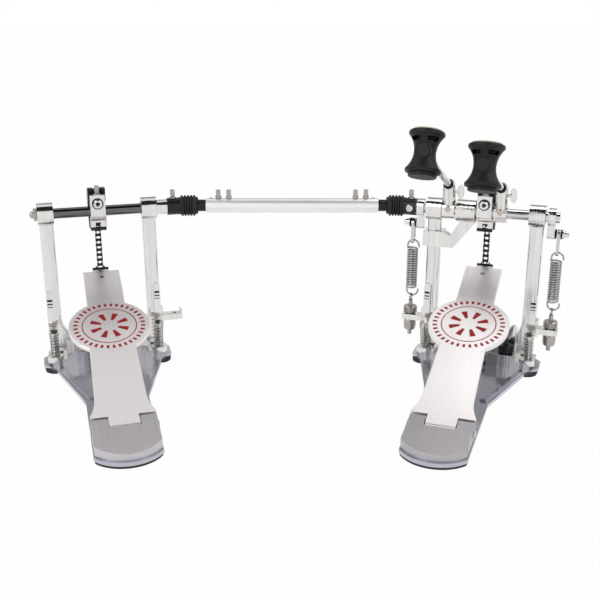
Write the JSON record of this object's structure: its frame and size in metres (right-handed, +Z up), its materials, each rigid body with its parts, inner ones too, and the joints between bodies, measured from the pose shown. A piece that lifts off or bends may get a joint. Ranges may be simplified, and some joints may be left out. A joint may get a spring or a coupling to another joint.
{
  "type": "double bass drum pedal",
  "caption": "Double bass drum pedal: main and slave footboards with chain drives, joined by a telescoping linkage, turning beaters on a shared split axle against springs.",
  "frame": {"origin": "on the floor, under the centre of the whole part's box at rest", "axes": "+X along the linkage from the slave pedal to the main pedal, +Y away from the player towards the drum, +Z up"},
  "size_m": [0.6191, 0.3143, 0.3065],
  "materials": {
    "polished_metal": "bright chrome plate",
    "brushed_aluminium": "brushed along its length",
    "polished_plate": "polished steel plate",
    "black_metal": "satin black",
    "black_rubber": "matt",
    "steel": "bright nickel-plated steel",
    "beater_plastic": "fine-grained",
    "felt": "thin pressed felt",
    "bronze": "sintered bush",
    "tube": "satin"
  },
  "bodies": {
    "main_frame": {"main_base_plate": "polished_plate", "main_rubber_feet": "black_rubber", "main_upright_frame": "polished_metal", "main_bearings": "bronze", "main_heel_plate": "brushed_aluminium", "main_frame_pins": "steel", "centre_bearing_arm": "polished_metal", "spring_brackets": "polished_metal", "spring_tensioners": "steel", "right_boot": "black_rubber", "main_spur_springs": "steel"},
    "main_spurs": {"main_spurs": "steel"},
    "hoop_clamp_jaw": {"hoop_clamp_jaw": "steel"},
    "clamp_wing_screw": {"clamp_wing_screw": "steel"},
    "main_footboard": {"main_footboard": "brushed_aluminium"},
    "main_chain": {"main_chain": "black_metal"},
    "main_shaft": {"main_axle": "steel", "main_cam_block": "polished_metal", "main_cam_sector": "black_metal", "main_chain_wrap": "black_metal", "right_beater_hub": "polished_metal", "right_spring_lever": "polished_metal", "main_axle_screws": "polished_metal"},
    "right_beater": {"right_beater_rod": "steel", "right_beater_head": "beater_plastic", "right_beater_felt": "felt"},
    "right_spring": {"right_spring": "steel"},
    "right_hanger": {"right_hanger": "steel"},
    "driven_shaft": {"driven_axle": "steel", "left_beater_hub": "polished_metal", "left_spring_lever": "polished_metal", "right_coupling": "black_metal", "driven_axle_screws": "polished_metal"},
    "left_beater": {"left_beater_rod": "steel", "left_beater_head": "beater_plastic", "left_beater_felt": "felt"},
    "left_spring": {"left_spring": "steel"},
    "left_hanger": {"left_hanger": "steel"},
    "linkage": {"linkage_tube": "tube", "linkage_screws": "steel", "linkage_right_rod": "black_metal"},
    "slave_frame": {"slave_base_plate": "polished_plate", "slave_rubber_feet": "black_rubber", "slave_upright_frame": "polished_metal", "slave_bearings": "bronze", "slave_heel_plate": "brushed_aluminium", "slave_frame_pins": "steel", "slave_spring_bracket": "polished_metal", "left_boot": "black_rubber", "slave_spur_springs": "steel"},
    "slave_spurs": {"slave_spurs": "steel"},
    "slave_footboard": {"slave_footboard": "brushed_aluminium"},
    "slave_chain": {"slave_chain": "black_metal"},
    "slave_shaft": {"slave_axle": "steel", "slave_cam_block": "polished_metal", "slave_cam_sector": "black_metal", "slave_chain_wrap": "black_metal", "left_coupling": "black_metal", "slave_axle_screws": "polished_metal"},
    "linkage_left_rod": {"linkage_left_rod": "black_metal"}
  },
  "joints": [
    {"name": "linkage_extension", "type": "slide", "parent": "main_frame", "child": "slave_frame", "axis": [-1, 0, 0], "range_m": [-0.009, 0.045]},
    {"name": "main_spur_screws", "type": "slide", "parent": "main_frame", "child": "main_spurs", "axis": [-0.1027, -0.295, 0.95], "range_m": [0, 0.008]},
    {"name": "main_footboard_press", "type": "hinge", "parent": "main_frame", "child": "main_footboard", "pos_m": [0.14339, -0.10293, 0.0163], "axis": [-0.9444, 0.3289, 0], "range_deg": [0, 5.91], "stiffness_Nm_per_rad": 15, "springref_deg": -5.73},
    {"name": "main_chain_swing", "type": "hinge", "parent": "main_footboard", "child": "main_chain", "pos_m": [0.22666, 0.13617, 0.11414], "axis": [0.9444, -0.3289, 0], "range_deg": [0, 11]},
    {"name": "main_shaft_turn", "type": "hinge", "parent": "main_frame", "child": "main_shaft", "pos_m": [0.21771, 0.1105, 0.1867], "axis": [-0.9444, 0.3289, 0], "range_deg": [0, 66]},
    {"name": "slave_spur_screws", "type": "slide", "parent": "slave_frame", "child": "slave_spurs", "axis": [0.0835, -0.301, 0.95], "range_m": [0, 0.008]},
    {"name": "slave_footboard_press", "type": "hinge", "parent": "slave_frame", "child": "slave_footboard", "pos_m": [-0.17292, -0.10087, 0.0163], "axis": [-0.9636, -0.2672, 0], "range_deg": [0, 5.91], "stiffness_Nm_per_rad": 15, "springref_deg": -5.73},
    {"name": "slave_chain_swing", "type": "hinge", "parent": "slave_footboard", "child": "slave_chain", "pos_m": [-0.24133, 0.1458, 0.10659], "axis": [0.9636, 0.2672, 0], "range_deg": [0, 11]},
    {"name": "slave_shaft_turn", "type": "hinge", "parent": "slave_frame", "child": "slave_shaft", "pos_m": [-0.23332, 0.11691, 0.1867], "axis": [-0.9636, -0.2672, 0], "range_deg": [0, 66]},
    {"name": "driven_shaft_turn", "type": "hinge", "parent": "main_frame", "child": "driven_shaft", "pos_m": [0.17767, 0.12444, 0.1867], "axis": [-0.9444, 0.3289, 0], "range_deg": [0, 66]},
    {"name": "linkage_turn", "type": "hinge", "parent": "main_frame", "child": "linkage", "pos_m": [0.1195, 0.1447, 0.1867], "axis": [-1, 0, 0], "range_deg": [0, 66]},
    {"name": "linkage_left_rod_turn", "type": "hinge", "parent": "slave_frame", "child": "linkage_left_rod", "pos_m": [-0.1331, 0.1447, 0.1867], "axis": [-1, 0, 0], "range_deg": [0, 66]},
    {"name": "left_beater_height", "type": "slide", "parent": "driven_shaft", "child": "left_beater", "axis": [-0.3027, -0.8693, 0.3907], "range_m": [-0.03, 0.012]},
    {"name": "left_spring_swing", "type": "hinge", "parent": "main_frame", "child": "left_spring", "pos_m": [0.13848, 0.13809, 0.076], "axis": [0.9444, -0.3289, 0], "range_deg": [0, 10.6]},
    {"name": "left_spring_stretch", "type": "slide", "parent": "left_spring", "child": "left_hanger", "axis": [0, 0, 1], "range_m": [0, 0.0126], "deforming": ["left_spring"]},
    {"name": "right_beater_height", "type": "slide", "parent": "main_shaft", "child": "right_beater", "axis": [-0.31, -0.8902, 0.3338], "range_m": [-0.03, 0.012]},
    {"name": "right_spring_swing", "type": "hinge", "parent": "main_frame", "child": "right_spring", "pos_m": [0.29695, 0.08291, 0.076], "axis": [0.9444, -0.3289, 0], "range_deg": [0, 10.6]},
    {"name": "right_spring_stretch", "type": "slide", "parent": "right_spring", "child": "right_hanger", "axis": [0, 0, 1], "range_m": [0, 0.0126], "deforming": ["right_spring"]},
    {"name": "clamp_screw_turn", "type": "hinge", "parent": "main_frame", "child": "clamp_wing_screw", "pos_m": [0.24711, 0.08544, 0.007], "axis": [0, 0, 1], "range_deg": [0, 720]},
    {"name": "clamp_jaw_lift", "type": "hinge", "parent": "main_frame", "child": "hoop_clamp_jaw", "pos_m": [0.21969, 0.11616, 0.012], "axis": [0.9444, -0.3289, 0], "range_deg": [0, 5.1]}
  ],
  "couplings": [
    {"joint": "main_shaft_turn", "follows": "main_footboard_press", "ratio": 11},
    {"joint": "main_chain_swing", "follows": "main_footboard_press", "ratio": 1.7208},
    {"joint": "right_spring_swing", "follows": "main_footboard_press", "ratio": 1.7513},
    {"joint": "right_spring_stretch", "follows": "main_footboard_press", "m_per_rad": 0.12021},
    {"joint": "slave_shaft_turn", "follows": "slave_footboard_press", "ratio": 11},
    {"joint": "driven_shaft_turn", "follows": "slave_footboard_press", "ratio": 11},
    {"joint": "linkage_turn", "follows": "slave_footboard_press", "ratio": 11},
    {"joint": "linkage_left_rod_turn", "follows": "slave_footboard_press", "ratio": 11},
    {"joint": "slave_chain_swing", "follows": "slave_footboard_press", "ratio": 1.5228},
    {"joint": "left_spring_swing", "follows": "slave_footboard_press", "ratio": 1.7513},
    {"joint": "left_spring_stretch", "follows": "slave_footboard_press", "m_per_rad": 0.12021},
    {"joint": "clamp_jaw_lift", "follows": "clamp_screw_turn", "ratio": 0.006944}
  ]
}
